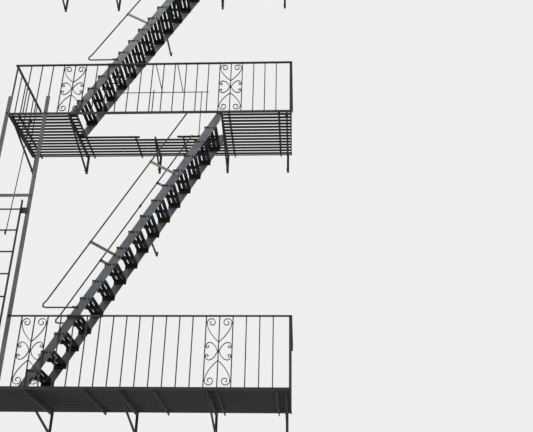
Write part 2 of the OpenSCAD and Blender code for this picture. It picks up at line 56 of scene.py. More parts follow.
@dataclass(frozen=True)
class Sizes:
    """The stair's own sizes in metres, as in the solids."""

    half: float = 1.870
    depth: float = 1.070
    low_rail: float = 0.840
    rail: float = 0.800
    bar: float = 0.012
    bar_h: float = 0.034
    bar_lip: float = 0.015
    lift: float = 0.230
    slat_w: float = 0.038
    slat_t: float = 0.010
    slat_n: int = 14
    walk_n: int = 7
    break_left: float = -0.220
    break_right: float = 0.300
    cross_w: float = 0.012
    bracket_end: float = 0.055
    bracket_in: float = 0.100
    top_end: float = 0.113
    top_inner: float = 0.898
    cross_end: float = 0.150
    cross_right: float = 1.066
    cross_mid: float = 0.385
    cross_break: float = 0.046
    pitch: float = 0.152
    scroll_bay: int = 7
    rail_w: float = 0.032
    rail_t: float = 0.012
    rail_in: float = 0.004
    post_w: float = 0.020
    stringer_h: float = 0.100
    stringer_t: float = 0.010
    lug: float = 0.005
    land: float = 0.048
    tread_w: float = 0.045
    tread_gap: float = 0.015
    angle_t: float = 0.006
    arm_w: float = 0.020
    arm_h: float = 0.045
    leg_t: float = 0.012
    leg_down: float = 0.070
    hole_gap: float = 0.110
    guide_out: float = 0.005
    guide_gap: float = 0.510
    guide_t: float = 0.012
    rod_r: float = 0.0095
    wall_gap: float = 0.001

    @property
    def in_face(self) -> float:
        """Depth of the front bar's inner face."""
        return self.depth - self.bar

    @property
    def bar_y(self) -> float:
        """Depth of the middle of the front bar and of its balusters."""
        return self.depth - self.bar / 2

    @property
    def rail_y(self) -> float:
        """Depth of the middle of a front top rail."""
        return self.in_face - self.rail_in + self.rail_w / 2

    @property
    def slat_gap(self) -> float:
        """Gap between two slats."""
        return (self.in_face - self.slat_n * self.slat_w) / (self.slat_n + 1)

    @property
    def walk_edge(self) -> float:
        """Depth of the walkway beside the stair opening."""
        return (self.slat_gap + self.slat_w) * self.walk_n

    @property
    def front(self) -> float:
        """Depth of the front stringer's outer face."""
        return self.in_face - self.lug

    @property
    def back(self) -> float:
        """Depth of the back stringer's outer face."""
        return self.walk_edge + self.lug

    @property
    def guide_b(self) -> float:
        """X of the middle of the corner guide."""
        return -self.half - self.guide_out

    @property
    def guide_a(self) -> float:
        """X of the middle of the right guide."""
        return self.guide_b + self.guide_gap

    def slat_y(self, i: int) -> float:
        """Depth of the middle of a slat, counted from the wall."""
        return (self.slat_gap + self.slat_w) * (i + 1) - self.slat_w / 2


S = Sizes()


@dataclass(frozen=True)
class Flight:
    """One flight of stairs, in metres and degrees."""

    floor: float
    rise: float
    foot: float
    slope: float
    risers: int
    extra: float
    nose: float
    rod_off: float
    rod_low: float
    stand_low: float
    tie: float
    tie_in: float
    stand_top: float = 0.750

    @property
    def sin(self) -> float:
        """Sine of the slope."""
        return math.sin(math.radians(self.slope))

    @property
    def cos(self) -> float:
        """Cosine of the slope."""
        return math.cos(math.radians(self.slope))

    @property
    def lean(self) -> Triple:
        """Direction in which the flight goes up."""
        return self.cos, 0.0, self.sin

    @property
    def width(self) -> float:
        """Level width of the stringer."""
        return S.stringer_h / self.sin

    @property
    def end(self) -> float:
        """Right edge of the opening above: past the top of the stringers' left edge."""
        return self.edge(self.rise) + S.land

    def edge(self, height: float) -> float:
        """Left edge of the stringer at a height above the flight's floor."""
        return self.foot + height * self.cos / self.sin

    def rod_at(self, height: float, past: float = 0.0) -> Pair:
        """X and Z of the handrail at a height, or of a point past it, square to the slope."""
        x, z = self.edge(height) - self.rod_off / self.sin, self.floor + height
        return x + past * self.sin, z - past * self.cos

    def standards(self) -> Pair:
        """Heights at which the two standards meet the rod."""
        return self.stand_low, self.rise - self.stand_top

    def treads(self) -> Iterable[Pair]:
        """Left end and top of every tread.

        Returns:
            Their X and Z, from the lowest.
        """
        for k in range(1, self.risers):
            up = k * self.rise / self.risers + self.extra
            yield self.edge(up) - self.nose, self.floor + up


LOWER = Flight(floor=0.230, rise=3.660, foot=-1.148, slope=60.7, risers=17, extra=0.0, nose=0.040,
               rod_off=0.345, rod_low=0.945, stand_low=1.785, tie=2.080, tie_in=0.048)
UPPER = Flight(floor=3.890, rise=3.030, foot=-1.060, slope=59.7, risers=15, extra=0.030, nose=0.060,
               rod_off=0.330, rod_low=0.895, stand_low=1.705, tie=1.810, tie_in=0.014)
LOW_Z, MID_Z, TOP_Z = LOWER.floor, UPPER.floor, UPPER.floor + UPPER.rise


@dataclass(frozen=True)
class Side:
    """One side of a flight: its direction along Y, and the depth of its stringer and handrail."""

    name: str
    out: float
    stringer: float
    rail: float


SIDES = (Side("front", -1.0, S.front, S.in_face), Side("back", 1.0, S.back, S.walk_edge))


# Shader maths


class Field:
    """A number over a surface: wraps a socket, and sums or products add their Math nodes."""

    def __init__(self, painter: "Painter", socket: bpy.types.NodeSocket) -> None:
        """Wrap an output socket that gives a number, in a painter's tree."""
        self.painter = painter
        self.socket = socket

    def _join(self, operation: str, *parts: "Field | float", clamp: bool = False) -> "Field":
        """The value of a new Math node on fields and numbers, kept from 0 to 1 where clamp is set."""
        inputs, settings = dict(enumerate(parts)), {"operation": operation, "use_clamp": clamp}
        return Field(self.painter, self.painter.node("ShaderNodeMath", settings, inputs).outputs[0])

    def __add__(self, other: "Field | float") -> "Field":
        """Sum."""
        return self._join("ADD", self, other)

    __radd__ = __add__

    def __sub__(self, other: "Field | float") -> "Field":
        """Difference."""
        return self._join("SUBTRACT", self, other)

    def __rsub__(self, other: float) -> "Field":
        """Difference from a number."""
        return self._join("SUBTRACT", other, self)

    def __mul__(self, other: "Field | float") -> "Field":
        """Product."""
        return self._join("MULTIPLY", self, other)

    __rmul__ = __mul__

    def clamp(self) -> "Field":
        """The field kept from 0 to 1."""
        return self._join("ADD", self, 0.0, clamp=True)

    def above(self, low: float, high: float) -> "Field":
        """A mask that rises from 0 at low to 1 at high, or falls where high is the smaller."""
        return self._join("MULTIPLY_ADD", self, 1.0 / (high - low), -low / (high - low), clamp=True)


class Nodes:
    """Adds nodes to one node tree."""

    def __init__(self, tree: bpy.types.NodeTree) -> None:
        """Start with an empty node tree."""
        self.tree = tree
        self.tree.nodes.clear()

    def feed(self, socket: bpy.types.NodeSocket, value: object) -> None:
        """Link or set one input.

        Args:
            socket: the input.
            value: a field, an output socket, a number, or a colour or vector of three numbers.
        """
        if isinstance(value, Field):
            value = value.socket
        if isinstance(value, bpy.types.NodeSocket):
            self.tree.links.new(value, socket)
        else:
            socket.default_value = (*value, 1.0) if socket.type == "RGBA" else value

    def node(self, kind: str, settings: dict | None = None, inputs: dict | None = None) -> bpy.types.Node:
        """Add a node.

        Args:
            kind: the node's type.
            settings: attributes, set first.
            inputs: values or links by socket name or number.

        Returns:
            The node.
        """
        made = self.tree.nodes.new(kind)
        for key, value in (settings or {}).items():
            setattr(made, key, value)
        for key, value in (inputs or {}).items():
            self.feed(made.inputs[key], value)
        return made


class Painter(Nodes):
    """Builds the node tree of one material."""

    def __init__(self, name: str) -> None:
        """Start an empty material with its shader.

        Args:
            name: the material's name.
        """
        self.material = bpy.data.materials.new(name)
        self.material.use_nodes = True
        super().__init__(self.material.node_tree)
        self.shader = self.node("ShaderNodeBsdfPrincipled")
        self.node("ShaderNodeOutputMaterial", None, {"Surface": self.shader.outputs[0]})
        self.coords = self.node("ShaderNodeTexCoord").outputs["Object"]

    def noise(self, scale: float, detail: float, rough: float, stretch: Triple | None = None,
              warp: float = 0.0) -> Field:
        """Noise in Object coordinates.

        Args:
            scale: features per metre.
            detail: octaves.
            rough: strength of the fine octaves.
            stretch: factors on X, Y and Z.
            warp: distortion.

        Returns:
            The noise, about 0.5 on average.
        """
        at = self.coords
        if stretch:
            at = self.node("ShaderNodeMapping", None, {"Vector": at, "Scale": stretch}).outputs[0]
        made = self.node("ShaderNodeTexNoise", None, {"Vector": at, "Scale": scale, "Detail": detail,
                                                      "Roughness": rough, "Distortion": warp})
        return Field(self, made.outputs["Fac"])

    def part(self, vector: bpy.types.NodeSocket, axis: int) -> Field:
        """The X, Y or Z of a vector, given as 0, 1 or 2."""
        return Field(self, self.node("ShaderNodeSeparateXYZ", None, {0: vector}).outputs[axis])

    def facing_up(self) -> Field:
        """How far the surface faces the sky, from -1 to 1."""
        return self.part(self.node("ShaderNodeNewGeometry").outputs["Normal"], 2)

    def along(self, axis: int) -> Field:
        """Place in metres along X, Y or Z, given as 0, 1 or 2."""
        return self.part(self.coords, axis)

    def blend(self, factor: Field | float, first: object, second: object) -> bpy.types.NodeSocket:
        """Mix two colours or their sockets; the factor is the second one's share."""
        return self.node("ShaderNodeMix", {"data_type": "RGBA"}, {0: factor, 6: first, 7: second}).outputs[2]

    def set(self, **sockets: object) -> None:
        """Set or link the shader's sockets, with _ for a space in a name."""
        for key, value in sockets.items():
            self.feed(self.shader.inputs[key.replace("_", " ")], value)

    def bump(self, height: Field, distance: float, strength: float) -> None:
        """Feed a height into the shader's normal; the distance is in metres for a height of 1."""
        inputs = {"Height": height, "Distance": distance, "Strength": strength}
        self.set(Normal=self.node("ShaderNodeBump", None, inputs).outputs[0])


# Finishes


@dataclass(frozen=True)
class PaintedIron:
    """Old paint on iron: mottled, with painted shade on faces that look down, dusty above, with rust at flaws
    and in runs.
    """

    name: str
    paint: Triple
    faded: Triple
    rust: Triple = (0.100, 0.045, 0.024)
    dark_rust: Triple = (0.036, 0.020, 0.014)
    rust_share: float = 0.40
    rust_cover: float = 0.85
    dust: Triple = (0.20, 0.20, 0.205)
    dust_share: float = 0.45
    # Painted shade on faces that look down: the first scales the paint's colour, the second is how much of it
    # is blended in.
    underside_shade_dark: float = 0.4
    underside_shade_share: float = 0.45
    chip_share: float = 0.8
    roughness: float = 0.62
    gloss: float = 0.30
    relief: Pair = (0.0012, 0.6)

    def base(self, p: Painter, fade: Field) -> bpy.types.NodeSocket:
        """The paint's own colour before rust and dirt, by how far it has faded, from 0 to 1."""
        return p.blend(fade, self.paint, self.faded)

    def make(self) -> bpy.types.Material:
        """Build the material.

        Returns:
            The material.
        """
        p = Painter(self.name)
        up = p.facing_up()
        broad = p.noise(2.6, 3.0, 0.5)
        patch = p.noise(9.0, 5.0, 0.6, warp=0.6)
        mottle = p.noise(38.0, 6.0, 0.62)
        speckle = p.noise(150.0, 3.0, 0.6)
        fine = p.noise(320.0, 4.0, 0.6)
        flaws = p.noise(15.0, 8.0, 0.68, warp=0.4)
        runs = p.noise(1.0, 5.0, 0.6, stretch=(55.0, 55.0, 5.0))

        fade = (broad * 0.22 + patch * 0.30 + mottle * 0.30 + speckle * 0.18).above(0.42, 0.58)
        # Painted shade: faces that look down are darkened.
        underside_shade = up.above(-0.4, -0.95) * self.underside_shade_share
        colour = p.blend(underside_shade, self.base(p, fade), tuple(self.underside_shade_dark * c for c in self.paint))

        chips = speckle.above(0.67, 0.71) * self.chip_share
        colour = p.blend(chips, colour, self.dark_rust)
        bare = 0.66 - 0.22 * self.rust_share
        rust = (flaws * 0.62 + runs * 0.38).above(bare, bare + 0.07)
        rust_colour = p.blend(mottle.above(0.35, 0.65), self.dark_rust, self.rust)
        colour = p.blend(rust * self.rust_cover, colour, rust_colour)

        settled = (mottle * 0.5 + broad * 0.5).above(0.30, 0.62)
        dust = up.above(0.55, 0.95) * settled * self.dust_share
        p.set(Base_Color=p.blend(dust, colour, self.dust))
        p.set(Roughness=(self.roughness + rust * 0.28 + (fine - 0.5) * 0.25 + dust * 0.15).clamp())
        p.set(Metallic=0.0, Specular_IOR_Level=self.gloss)
        p.bump(mottle * 0.4 + speckle * 0.25 + fine * 0.15 + rust * 0.5 - chips * 0.4, *self.relief)
        return p.material


@dataclass(frozen=True)
class StringerPaint(PaintedIron):
    """Grey-blue paint, darkened towards the street by painted shade."""

    # Painted shade: its colour, its share, and the heights where it is full and where it is gone.
    painted_shade: Triple = (0.044, 0.047, 0.053)
    painted_shade_share: float = 0.80
    shaded_z: float = 0.6
    lit_z: float = 5.2

    def base(self, p: Painter, fade: Field) -> bpy.types.NodeSocket:
        """The paint's own colour, darkened low down by painted shade."""
        # Painted shade: the paint darkens from high up towards the street.
        painted_shade = p.along(2).above(self.lit_z, self.shaded_z) * self.painted_shade_share
        return p.blend(painted_shade, super().base(p, fade), self.painted_shade)


@dataclass(frozen=True)
class HandrailPaint(PaintedIron):
    """Dark rod with paler flat standards, told apart by their distance from the rod."""

    paint: Triple = (0.034, 0.030, 0.029)
    faded: Triple = (0.075, 0.065, 0.060)
    rust_share: float = 0.42
    flight: Flight = LOWER
    standard: Triple = (0.150, 0.128, 0.118)
    pale: Triple = (0.225, 0.190, 0.172)
    # Painted shade on the standards: its colour, its share, and the heights where it is full and where it is
    # gone.
    painted_shade: Triple = (0.044, 0.047, 0.053)
    painted_shade_share: float = 0.70
    shaded_z: float = 2.1
    lit_z: float = 2.9
    off_rod: Pair = (0.011, 0.016)
    off_corner: Pair = (0.02, 0.05)

    def base(self, p: Painter, fade: Field) -> bpy.types.NodeSocket:
        """The rod's colour, and the paler one of the standards, which painted shade darkens low down.

        Args:
            p: the painter.
            fade: how far the paint has faded, from 0 to 1.

        Returns:
            The colour's socket.
        """
        f = self.flight
        x, z = p.along(0), p.along(2)
        across = (x - f.foot) * f.sin - (z - f.floor) * f.cos
        inside = across.above(*(edge - f.rod_off for edge in self.off_rod))
        above = z.above(*(f.floor + f.rod_low + up for up in self.off_corner))
        # Painted shade: the standards darken low down.
        painted_shade = z.above(self.lit_z, self.shaded_z) * self.painted_shade_share
        plate = p.blend(painted_shade, p.blend(fade, self.standard, self.pale), self.painted_shade)
        return p.blend(inside * above, super().base(p, fade), plate)


@dataclass(frozen=True)
class BareSteel:
    """Dark bolts and nuts that have begun to rust."""

    name: str
    metal: Triple = (0.010, 0.009, 0.009)
    rust: Triple = (0.038, 0.019, 0.012)
    relief: Pair = (0.0006, 0.5)

    def make(self) -> bpy.types.Material:
        """Build the material.

        Returns:
            The material.
        """
        p = Painter(self.name)
        mottle = p.noise(120.0, 5.0, 0.6)
        broad = p.noise(9.0, 4.0, 0.6)
        rust = (broad * 0.6 + mottle * 0.4).above(0.46, 0.58)
        p.set(Base_Color=p.blend(rust, self.metal, self.rust))
        p.set(Roughness=0.55 + rust * 0.30, Metallic=0.25 - rust * 0.20, Specular_IOR_Level=0.25)
        p.bump(mottle, *self.relief)
        return p.material


@dataclass(frozen=True)
class PaleFloor:
    """The plain studio floor."""

    name: str
    colour: Triple = (0.80, 0.80, 0.79)
    roughness: float = 0.9

    def make(self) -> bpy.types.Material:
        """Build the material.

        Returns:
            The material.
        """
        p = Painter(self.name)
        p.set(Base_Color=self.colour, Roughness=self.roughness)
        return p.material


class Coat(Enum):
    """The finishes, by what they are put on."""

    IRON = PaintedIron("dark_iron_paint", (0.014, 0.0145, 0.016), (0.028, 0.028, 0.031), gloss=0.22)
    RAIL = PaintedIron("rail_paint", (0.018, 0.018, 0.020), (0.042, 0.041, 0.041), rust_share=0.36,
                       gloss=0.24, dust_share=0.60)
    SLAT = PaintedIron("floor_paint", (0.012, 0.0125, 0.014), (0.024, 0.024, 0.027), dust_share=0.55,
                       underside_shade_share=0.6, gloss=0.18, roughness=0.70)
    STRINGER = StringerPaint("grey_blue_paint", (0.066, 0.074, 0.082), (0.196, 0.214, 0.230),
                             rust_share=0.26, dust_share=0.35, roughness=0.55)
    GUIDE = PaintedIron("guide_paint", (0.050, 0.050, 0.054), (0.124, 0.122, 0.126), rust_share=0.36,
                        dust_share=0.3, roughness=0.58)
    LOW_ROD = HandrailPaint("low_handrail_paint", flight=LOWER)
    UP_ROD = HandrailPaint("up_handrail_paint", flight=UPPER)
    ROD = PaintedIron("rod_paint", (0.026, 0.025, 0.025), (0.058, 0.053, 0.050), rust_share=0.46)
    BOLT = BareSteel("old_bolts")
    FLOOR = PaleFloor("pale_floor")


@cache
def material_of(coat: Coat) -> bpy.types.Material:
    """The material of a coat, made at the first call."""
    return coat.value.make()


COATS = (
    (("_stringer",), Coat.STRINGER),
    (("ladder_guides",), Coat.GUIDE),
    (("low_front_handrail", "low_back_handrail"), Coat.LOW_ROD),
    (("_handrail",), Coat.UP_ROD),
    (("_railing", "_scroll_panels"), Coat.RAIL),
    (("_tie", "well_guard", "ladder_hook"), Coat.ROD),
    (("_slats", "_left", "_right", "_walkway", "_treads"), Coat.SLAT),
    (("",), Coat.IRON),
)


def dress(node: str) -> None:
    """Put its finish on a solid of the frame: the first of COATS that its name ends with.

    Args:
        node: the solid's name.
    """
    coat = next(coat for endings, coat in COATS if node.endswith(endings))
    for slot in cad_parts[node].material_slots:
        slot.material = material_of(coat)


# Pieces


def turned(steps: Pair, i: int, j: int) -> float:
    """Turn of a nut in degrees, by its steps from row to row and within a row."""
    return steps[0] * i + steps[1] * j


def show(name: str, data: bpy.types.ID) -> bpy.types.Object:
    """Put a mesh, a lamp or a camera into the scene.

    Args:
        name: the object's name.
        data: what it holds.

    Returns:
        The object.
    """
    made = bpy.data.objects.new(name, data)
    bpy.context.scene.collection.objects.link(made)
    return made


class Piece:
    """A mesh under construction, made of many small forms."""

    # Faces that meet at less than this angle shade as one
    smooth = math.radians(35.0)

    def __init__(self, name: str) -> None:
        """Start an empty mesh."""
        self.name = name
        self.mesh = bmesh.new()

    @staticmethod
    def facing(centre: Spot, axis: Spot, spin: float = 0.0) -> Matrix:
        """The place of a form whose own +Z points along axis, turned about it by spin degrees."""
        turn = Vector(UP).rotation_difference(Vector(axis)).to_matrix().to_4x4()
        return Matrix.Translation(Vector(centre)) @ turn @ Matrix.Rotation(math.radians(spin), 4, "Z")

    def bevel(self, edges: Iterable[bmesh.types.BMEdge], width: float) -> None:
        """Bevel some edges, each once."""
        bmesh.ops.bevel(self.mesh, geom=list(dict.fromkeys(edges)), offset=width, segments=1,
                        affect="EDGES", profile=0.5, material=-1)

    def dome(self, centre: Spot, axis: Spot, radius: float, height: float, sides: int = 8) -> None:
        """Add a rivet head that sits half sunk on a face and stands out by its height."""
        place = self.facing(centre, axis) @ Matrix.Diagonal((1.0, 1.0, height / radius, 1.0))
        bmesh.ops.create_uvsphere(self.mesh, u_segments=sides, v_segments=4, radius=radius, matrix=place)

    def ball(self, centre: Spot, radius: float) -> None:
        """Add a knob."""
        bmesh.ops.create_uvsphere(self.mesh, u_segments=16, v_segments=10, radius=radius,
                                  matrix=Matrix.Translation(Vector(centre)))

    def disc(self, centre: Spot, axis: Spot, radius: float, thick: float,
             sides: int = 16, bevel: float = 0.0, spin: float = 0.0, top: float | None = None) -> None:
        """Add a washer, a nut or a shank that stands on a face.

        Args:
            centre: point on the face.
            axis: the face's outward direction.
            radius: radius at the foot.
            thick: thickness.
            sides: sides, 6 for a nut.
            bevel: width of the bevel round the far end.
            spin: turn about the axis, in degrees.
            top: radius at the far end, if it differs.
        """
        at, out = Vector(centre), Vector(axis)
        made = bmesh.ops.create_cone(self.mesh, cap_ends=True, segments=sides, radius1=radius,
                                     radius2=radius if top is None else top, depth=thick,
                                     matrix=self.facing(at + out * (thick / 2), axis, spin))
        if bevel:
            far = at + out * thick
            ends = [v for v in made["verts"] if abs((v.co - far).dot(out)) < 1e-5]
            self.bevel((e for v in ends for e in v.link_edges if e.other_vert(v) in ends), bevel)

    def block(self, place: Matrix, size: Sequence[float], bevel: float) -> None:
        """Add a bevelled block, with its size along its own axes."""
        made = bmesh.ops.create_cube(self.mesh, size=1.0, matrix=place @ Matrix.Diagonal((*size, 1.0)))
        self.bevel((e for v in made["verts"] for e in v.link_edges), bevel)

    def slab(self, low: Spot, high: Spot, bevel: float) -> None:
        """Add a bevelled block between its lowest and its highest corner."""
        low, high = Vector(low), Vector(high)
        self.block(Matrix.Translation((high + low) / 2), high - low, bevel)

    def bolt(self, centre: Spot, axis: Spot, size: float, spin: float = 0.0, proud: float = 0.004) -> None:
        """Add a washer, a nut and the end of its bolt.

        Args:
            centre: point on the face.
            axis: the face's outward direction.
            size: the bolt's diameter.
            spin: turn of the nut, in degrees.
            proud: how far the bolt's end stands out of the nut.
        """
        at, out = Vector(centre), Vector(axis)
        washer, nut = size * 0.16, size * 0.72
        self.disc(at, out, size * 1.05, washer, 14)
        self.disc(at + out * washer, out, size * 0.90, nut, 6, size * 0.09, spin)
        self.disc(at + out * (washer + nut), out, size * 0.47, proud, 10, size * 0.08)

    def finish(self, coat: Coat, body: str = "frame") -> None:
        """Turn the mesh into an object that rides on a body.

        Args:
            coat: its finish.
            body: the body that it rides on.
        """
        bmesh.ops.remove_doubles(self.mesh, verts=self.mesh.verts, dist=1e-6)
        bmesh.ops.recalc_face_normals(self.mesh, faces=self.mesh.faces)
        for face in self.mesh.faces:
            face.smooth = True
        for edge in self.mesh.edges:
            edge.smooth = len(edge.link_faces) == 2 and edge.calc_face_angle(0.0) < self.smooth
        data = bpy.data.meshes.new(self.name)
        self.mesh.to_mesh(data)
        self.mesh.free()
        made = show(self.name, data)
        data.materials.append(material_of(coat))
        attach(made, body)
        LOG.info("%s: %d faces", self.name, len(data.polygons))


# Floors


@dataclass(frozen=True)
class Storey:
    """The plan of one floor: X and reach of its bars, and the first, last, left and right of its slats."""

    tag: str
    z: float
    rail: float
    rail_left: float
    arms: tuple[Pair, ...]
    cross: tuple[Pair, ...]
    rows: tuple[tuple[int, int, float, float], ...]

    @property
    def bars(self) -> tuple[Pair, ...]:
        """X and reach of every bar under the slats."""
        return (*self.arms, *self.cross)

    @property
    def top(self) -> float:
        """Height of the top rail."""
        return self.z + self.rail

    @property
    def under(self) -> float:
        """Height of the front bar's underside."""
        return self.z + S.bar_lip - S.bar_h


def arms(end: float, left: float, right: float, middle: float) -> tuple[Pair, ...]:
    """X and reach of five bracket arms, from the left; the middle one may be shorter."""
    places = (end - S.half, left, 0.0, right + S.arm_w / 2, S.half - end)
    return tuple((x, S.in_face if x else middle) for x in places)


def cross(long: Iterable[float], short: Iterable[float] = ()) -> tuple[Pair, ...]:
    """X and reach of the cross bars: long ones reach the front bar, short ones the walkway's edge."""
    every = (S.cross_end - S.half, S.cross_right, S.half - S.cross_end)
    return (*((x, S.in_face) for x in (*every, *long)), *((x, S.walk_edge) for x in short))


def storeys() -> tuple[Storey, ...]:
    """The three floors.

    Returns:
        Their plans, from the lowest.
    """
    inside = S.half - S.bar
    last, walk = S.slat_n - 1, S.walk_n
    well = UPPER.edge(0.0) + UPPER.width
    top_well = S.bracket_in - S.top_inner
    left = well - S.bracket_in
    middles = (-S.cross_mid, S.cross_mid)
    beside = (S.break_left - S.cross_break, S.break_right + 2 * S.cross_break)
    return (
        Storey("low", LOW_Z, S.low_rail, S.guide_a,
               arms(S.bracket_end, left, LOWER.end, S.in_face), cross(middles),
               ((0, last, -inside, inside),)),
        Storey("mid", MID_Z, S.rail, -S.half,
               arms(S.bracket_end, left, LOWER.end, S.walk_edge),
               cross((well - S.cross_w / 2,), beside),
               ((0, walk - 2, -inside, inside), (walk - 1, walk - 1, -inside, S.break_left),
                (walk - 1, walk - 1, S.break_right, inside), (walk, last, -inside, well),
                (walk, last, LOWER.end, inside))),
        Storey("top", TOP_Z, S.rail, -S.half,
               arms(S.top_end, -S.top_inner, UPPER.end, S.walk_edge),
               cross((top_well - S.cross_w / 2,), middles),
               ((0, walk - 1, -inside, inside), (walk, last, -inside, top_well),
                (walk, last, UPPER.end, inside))),
    )


@dataclass
class Brackets:
    """The bolts of one floor's brackets: through the wall leg, and where the brace is joined."""

    plan: Storey
    wall_bolt: float = 0.012
    wall_spin: Pair = (17.0, 23.0)
    proud: float = 0.010
    side_bolt: float = 0.011
    side_spin: Pair = (31.0, 13.0)
    nut: Pair = (0.01012, 0.007)
    nut_bevel: float = 0.001
    nut_spin: float = 20.0
    foot_in: float = 0.048
    root_in: float = 0.040
    head_in: float = 0.052
    brace_up: float = 0.021
    brace_rise: float = 0.220
    brace_in: float = 0.0425

    def brace_z(self, y: float, reach: float) -> float:
        """Height of the middle of the brace at a depth, under an arm of a given reach."""
        foot = self.plan.z - S.lift - S.leg_down + self.brace_up
        return foot + self.brace_rise * (y - S.leg_t) / (reach - self.brace_in - S.leg_t)

    def build(self) -> None:
        """Add the bolts."""
        wall = Piece(f"{self.plan.tag}_wall_bolts")
        side = Piece(f"{self.plan.tag}_bracket_bolts")
        low = self.plan.z - S.lift
        arm_z = self.plan.z - S.slat_t - S.arm_h / 2
        for i, (x, reach) in enumerate(self.plan.arms):
            for j, z in enumerate((low, low + S.hole_gap)):
                wall.bolt((x, -S.leg_t, z), STREET, self.wall_bolt, turned(self.wall_spin, i, j), self.proud)
                wall.disc((x, -S.wall_gap, z), STREET, self.wall_bolt / 2, S.leg_t, 12)
            spots = ((self.foot_in, self.brace_z(self.foot_in, reach)), (self.root_in, arm_z),
                     (reach - self.head_in, arm_z))
            for j, (y, z) in enumerate(spots):
                side.bolt((x - S.arm_w / 2, -y, z), LEFT, self.side_bolt, turned(self.side_spin, i, j))
                side.disc((x + S.arm_w / 2, -y, z), RIGHT, *self.nut, 6, self.nut_bevel, self.nut_spin * j)
        wall.finish(Coat.BOLT)
        side.finish(Coat.BOLT)


@dataclass
class Floor:
    """The small iron of one floor: slat rivets, front bar rivets and the level legs of the cross bars."""

    plan: Storey
    slat_head: Pair = (0.0075, 0.0035)
    slat_end: float = 0.004
    bar_head: Pair = (0.0065, 0.004)
    bar_up: float = 0.008
    end_head: Form = (0.0075, 0.0045, 10)
    end_in: float = 0.030
    leg: Pair = (0.014, 0.005)
    leg_bevel: float = 0.0010

    def build(self) -> None:
        """Add the rivets and the legs."""
        self.slat_rivets()
        self.edge_rivets()
        self.bar_legs()

    def slat_rivets(self) -> None:
        """Add a rivet wherever a slat crosses a bar."""
        rivets = Piece(f"{self.plan.tag}_slat_rivets")
        for first, last, left, right in self.plan.rows:
            for x, reach in self.plan.bars:
                if left + self.slat_end < x < right - self.slat_end:
                    for y in map(S.slat_y, range(first, last + 1)):
                        if y < reach:
                            rivets.dome((x, -y, self.plan.z), UP, *self.slat_head)
        rivets.finish(Coat.SLAT)

    def edge_rivets(self) -> None:
        """Add the rivets of the front bar and the end bars."""
        ends = Piece(f"{self.plan.tag}_edge_rivets")
        middle = self.plan.under + S.bar_h / 2
        for x, reach in self.plan.bars:
            if reach > S.walk_edge:
                ends.dome((x, -S.depth, self.plan.under + self.bar_up), STREET, *self.bar_head)
        for side in (-1, 1):
            ends.dome((side * (S.half - S.bar / 2), -S.depth, middle), STREET, *self.end_head)
            for y in (self.end_in, S.in_face - self.end_in):
                ends.dome((side * S.half, -y, middle), (side, 0, 0), *self.end_head)
        ends.finish(Coat.IRON)

    def bar_legs(self) -> None:
        """Add the level leg of each cross bar, which is an angle."""
        legs = Piece(f"{self.plan.tag}_cross_bar_legs")
        wide, thick = self.leg
        under = self.plan.z - S.slat_t
        for x, reach in self.plan.cross:
            side = x - S.cross_w / 2
            legs.slab((side - wide, -reach, under - thick), (side, -S.wall_gap, under), self.leg_bevel)
        legs.finish(Coat.IRON)


@dataclass
class Railing:
    """The small iron of one floor's railing: tenon heads, wall tabs and scroll clips."""

    plan: Storey
    bars: int = 13
    left_clear: float = 0.060
    right_clear: float = 0.050
    end_bays: int = 6
    tenon: Pair = (0.0065, 0.0035)
    flush: Form = (0.0065, 0.0004, 12)
    tab: Triple = (0.026, 0.005, 0.062)
    tab_out: float = 0.001
    tab_bevel: float = 0.0015
    tab_bolt: float = 0.010
    tab_bolt_at: float = 0.62
    tab_spin: float = 12.0
    clip: Triple = (0.0250, 0.0175, 0.012)
    clip_in: float = 0.0055
    clip_bevel: float = 0.0012
    heart_v: float = 0.072
    cee_v: float = 0.865

    def places(self) -> list[float]:
        """X of every front baluster and post.

        Returns:
            The places.
        """
        left, post = self.plan.rail_left, S.post_w / 2
        bars = [k * S.pitch for k in range(-self.bars, self.bars + 1)]
        bars = [x for x in bars if left + self.left_clear < x < S.half - self.right_clear]
        return [left + post, *bars, S.half - post]

    def build(self) -> None:
        """Add the pieces."""
        self.tenons()
        self.wall_tabs()
        self.clips()

    def tenons(self) -> None:
        """Add the balusters' riveted ends; in the rail they are flush, and none is added on the top floor."""
        tenons = Piece(f"{self.plan.tag}_tenon_heads")
        spots = [(x, S.bar_y) for x in self.places()]
        for side in (-1, 1):
            x = side * (S.half - S.bar / 2)
            spots += [(x, S.in_face * i / self.end_bays) for i in range(1, self.end_bays)]
        for x, y in spots:
            tenons.dome((x, -y, self.plan.under), DOWN, *self.tenon)
            if self.plan.z < TOP_Z:
                tenons.disc((x, -y, self.plan.top), UP, *self.flush)
        tenons.finish(Coat.RAIL)

    def wall_tabs(self) -> None:
        """Add the tab that fixes each end rail to the wall."""
        under = self.plan.top - S.rail_t
        tabs = Piece(f"{self.plan.tag}_rail_tabs")
        bolts = Piece(f"{self.plan.tag}_rail_tab_bolts")
        wide, thick, tall = self.tab
        for side in (-1, 1):
            x = side * (S.half + self.tab_out)
            tabs.slab((x - wide / 2, -thick, under - tall), (x + wide / 2, 0.0, under), self.tab_bevel)
            at = (x, -thick, under - tall * self.tab_bolt_at)
            bolts.bolt(at, STREET, self.tab_bolt, self.tab_spin * side)
        tabs.finish(Coat.RAIL)
        bolts.finish(Coat.BOLT)

    def clips(self) -> None:
        """Add the clips that tie the scrolls to the bars beside them."""
        head = self.plan.top - S.rail_t
        clips = Piece(f"{self.plan.tag}_scroll_clips")
        foot = self.plan.z + S.bar_lip
        for bay in (-S.scroll_bay, S.scroll_bay):
            for side in (-1, 1):
                x = bay * S.pitch + side * (S.pitch - self.clip_in)
                for down in (self.heart_v, (head - foot) / 2 * self.cee_v):
                    for z in (head - down, foot + down):
                        clips.block(Matrix.Translation((x, -S.bar_y, z)), self.clip, self.clip_bevel)
        clips.finish(Coat.RAIL)


# Flights


